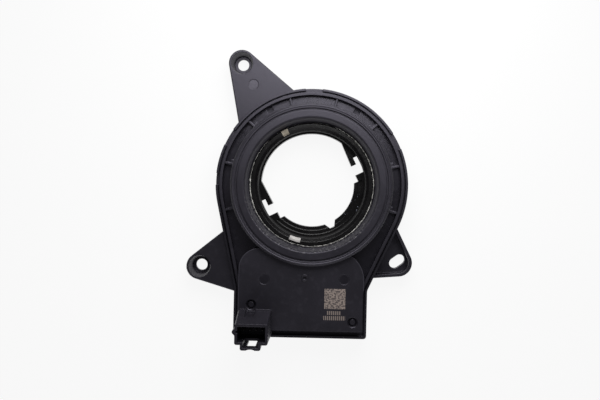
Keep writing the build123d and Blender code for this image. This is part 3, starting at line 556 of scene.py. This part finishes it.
def foam_tape(name, clean, dirty, share):
    """Foam with small cells, stained in patches by up to that share of the dirty colour."""
    finish = Finish(name)
    cells = finish.noise(FOAM_CELL, 4.0)
    stain = finish.noise(FOAM_STAIN, 2.0).step(0.3, 0.7)
    colour = finish.mixed(stain * share, clean, dirty)
    return finish.done(Base_Color=colour, Roughness=0.8, Normal=finish.bumpy(cells, FOAM_DEPTH))


dress("index_pad_upper", foam_tape("darker_tape", *UPPER_PAD))
dress("index_pad_lower", foam_tape("paler_tape", *LOWER_PAD))


# The rotor drives the two measuring gears. They and the plate that keeps them on their axles are
# moulded in natural acetal, an off-white plastic with a faint flow pattern.
ACETAL_DARK = (0.70, 0.68, 0.61, 1)
ACETAL_LIGHT = (0.80, 0.79, 0.74, 1)
ACETAL_FLOW = 5 * MM
ACETAL_GRAIN = 0.3 * MM
ACETAL_DEPTH = 0.004 * MM
TOOTH_EDGE = 0.1 * MM


def acetal():
    """Off-white plastic with slow clouds and a fine grain."""
    finish = Finish("acetal")
    cloud = finish.noise(ACETAL_FLOW, 2.0)
    colour = finish.mixed(cloud, ACETAL_DARK, ACETAL_LIGHT)
    grain = finish.noise(ACETAL_GRAIN, 2.0)
    normal = finish.bumpy(grain, ACETAL_DEPTH, rounded_edges(finish, TOOTH_EDGE))
    return finish.done(Base_Color=colour, Roughness=0.34 + 0.1 * cloud, Normal=normal)


gear_plastic = acetal()
for node in ("measuring_gear_large", "measuring_gear_small", "gear_retainer"):
    dress(node, gear_plastic)


# Each measuring gear carries a magnet, which a chip on the board reads. It is a disc of ferrite
# powder, pressed and sintered, and pressed into the gear.
FERRITE_DARK = (0.05, 0.05, 0.055, 1)
FERRITE_LIGHT = (0.11, 0.11, 0.12, 1)
FERRITE_GRAIN = 0.25 * MM
FERRITE_DEPTH = 0.02 * MM


def ferrite():
    """A dark grey that glints a little, with speckles of its powder."""
    finish = Finish("ferrite")
    speckle = finish.noise(FERRITE_GRAIN, 4.0)
    colour = finish.mixed(speckle, FERRITE_DARK, FERRITE_LIGHT)
    normal = finish.bumpy(speckle, FERRITE_DEPTH)
    return finish.done(Base_Color=colour, Roughness=0.6 + 0.15 * speckle, Metallic=0.3, Normal=normal)


magnet_ferrite = ferrite()
for node in ("magnet_large_gear", "magnet_small_gear"):
    dress(node, magnet_ferrite)


# The circuit board is glass laminate under green solder resist, through which the copper tracks
# show. It rests on the housing under the front cover.
TRACK = 1.3 * MM
TRACK_FIELD = 9 * MM
TRACK_DEPTH = 0.03 * MM
RESIST_DARK = (0.012, 0.10, 0.035, 1)
RESIST_LIGHT = (0.03, 0.20, 0.07, 1)
RESIST_CLOUD = 3 * MM


def solder_resist():
    """Green resist, lighter over tracks that run one way in some fields and across it in others."""
    finish = Finish("solder_resist")
    field = finish.noise(TRACK_FIELD, 0.0).step(0.45, 0.55)
    upright = finish.x.wave(TRACK).step(0.2, 0.4)
    level = finish.y.wave(TRACK).step(0.2, 0.4)
    track = upright * field + level * (1 - field)
    colour = finish.mixed(track, RESIST_DARK, RESIST_LIGHT)
    roughness = 0.25 + 0.1 * finish.noise(RESIST_CLOUD, 2.0)
    return finish.done(Base_Color=colour, Roughness=roughness, Normal=finish.bumpy(track, TRACK_DEPTH))


dress("circuit_board", solder_resist())


# The chips are black epoxy, moulded round their tinned leads. The leads stand out past the body on
# two sides, where they are soldered to the board.
EPOXY_DARK = (0.018, 0.018, 0.020, 1)
EPOXY_LIGHT = (0.035, 0.035, 0.038, 1)
EPOXY_GRAIN = 0.2 * MM
PART_DEPTH = 0.01 * MM
PART_SEAM = 0.02 * MM
TINNED_LEAD = (0.62, 0.61, 0.58, 1)
BODY_DEPTHS = {
    "angle_chip_large_gear": 3.9 * MM,
    "angle_chip_small_gear": 3.9 * MM,
    "bus_transceiver": 3.9 * MM,
    "memory_chip": 3.9 * MM,
    "microcontroller": 7.0 * MM,
    "voltage_regulator": 3.5 * MM,
}


def epoxy_chip(node, body_depth):
    """Epoxy as deep as the body is along Y, and tinned metal past it on both sides."""
    low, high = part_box(node)
    finish = Finish(node + "_finish")
    offset = finish.y - (low.y + high.y) / 2
    lead = offset.worked("ABSOLUTE", offset).step(body_depth / 2, body_depth / 2 + PART_SEAM)
    speckle = finish.noise(EPOXY_GRAIN, 3.0)
    colour = finish.mixed(lead, finish.mixed(speckle, EPOXY_DARK, EPOXY_LIGHT), TINNED_LEAD)
    normal = finish.bumpy(speckle, PART_DEPTH)
    return finish.done(Base_Color=colour, Metallic=lead, Roughness=0.55 - lead * 0.25, Normal=normal)


for node, body_depth in BODY_DEPTHS.items():
    dress(node, epoxy_chip(node, body_depth))


# The capacitors, the resistors and the diode have a ceramic or moulded body between two tinned caps,
# by which they are soldered to the board.
CERAMIC = (0.38, 0.26, 0.16, 1)
TANTALUM_CASE = (0.62, 0.42, 0.08, 1)
DARK_CASE = (0.03, 0.03, 0.035, 1)
TINNED_CAP = (0.66, 0.65, 0.62, 1)
BODY_GRAIN = 0.3 * MM


def darker(colour, share):
    """That share of a colour."""
    return tuple(share * part for part in colour[:3]) + (1,)


def end_capped(node, body_colour, cap):
    """A body along X with tinned metal over the length of a cap at each end."""
    low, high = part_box(node)
    reach = (high.x - low.x) / 2 - cap
    finish = Finish(node + "_finish")
    offset = finish.x - (low.x + high.x) / 2
    metal = offset.worked("ABSOLUTE", offset).step(reach - PART_SEAM, reach)
    speckle = finish.noise(BODY_GRAIN, 3.0)
    body = finish.mixed(speckle, body_colour, darker(body_colour, 0.8))
    colour = finish.mixed(metal, body, TINNED_CAP)
    normal = finish.bumpy(speckle, PART_DEPTH)
    return finish.done(Base_Color=colour, Metallic=metal, Roughness=0.5 - metal * 0.2, Normal=normal)


for number in range(1, 6):
    node = f"ceramic_capacitor_{number}"
    dress(node, end_capped(node, CERAMIC, 0.4 * MM))
for number in range(1, 7):
    node = f"chip_resistor_{number}"
    dress(node, end_capped(node, DARK_CASE, 0.3 * MM))
dress("tantalum_capacitor", end_capped("tantalum_capacitor", TANTALUM_CASE, 1.0 * MM))
dress("protection_diode", end_capped("protection_diode", DARK_CASE, 0.8 * MM))


# The crystal's can is drawn from plated steel. The connector's four pins are stamped from brass and
# tinned, and stand up from the board into the socket; their colour is painted far darker than tin,
# as painted shade for the socket around them.
PLATED_STEEL = (0.62, 0.62, 0.63, 1)
SHADED_PIN_TIN = (0.30, 0.29, 0.27, 1)
BRUSH_GRAIN = 0.4 * MM
BRUSH_DEPTH = 0.004 * MM


def plated(name, colour, roughness):
    """Plated metal with faint clouds in its colour and its gloss."""
    finish = Finish(name)
    brush = finish.noise(BRUSH_GRAIN, 3.0)
    tone = finish.mixed(brush, colour, darker(colour, 0.85))
    normal = finish.bumpy(brush, BRUSH_DEPTH)
    return finish.done(Base_Color=tone, Metallic=1.0, Roughness=roughness + 0.1 * brush, Normal=normal)


dress("crystal", plated("plated_can", PLATED_STEEL, 0.3))
# The pins' dark colour is painted shade.
shaded_pin_metal = plated("tinned_brass", SHADED_PIN_TIN, 0.4)
for number in range(1, 5):
    dress(f"connector_pin_{number}", shaded_pin_metal)
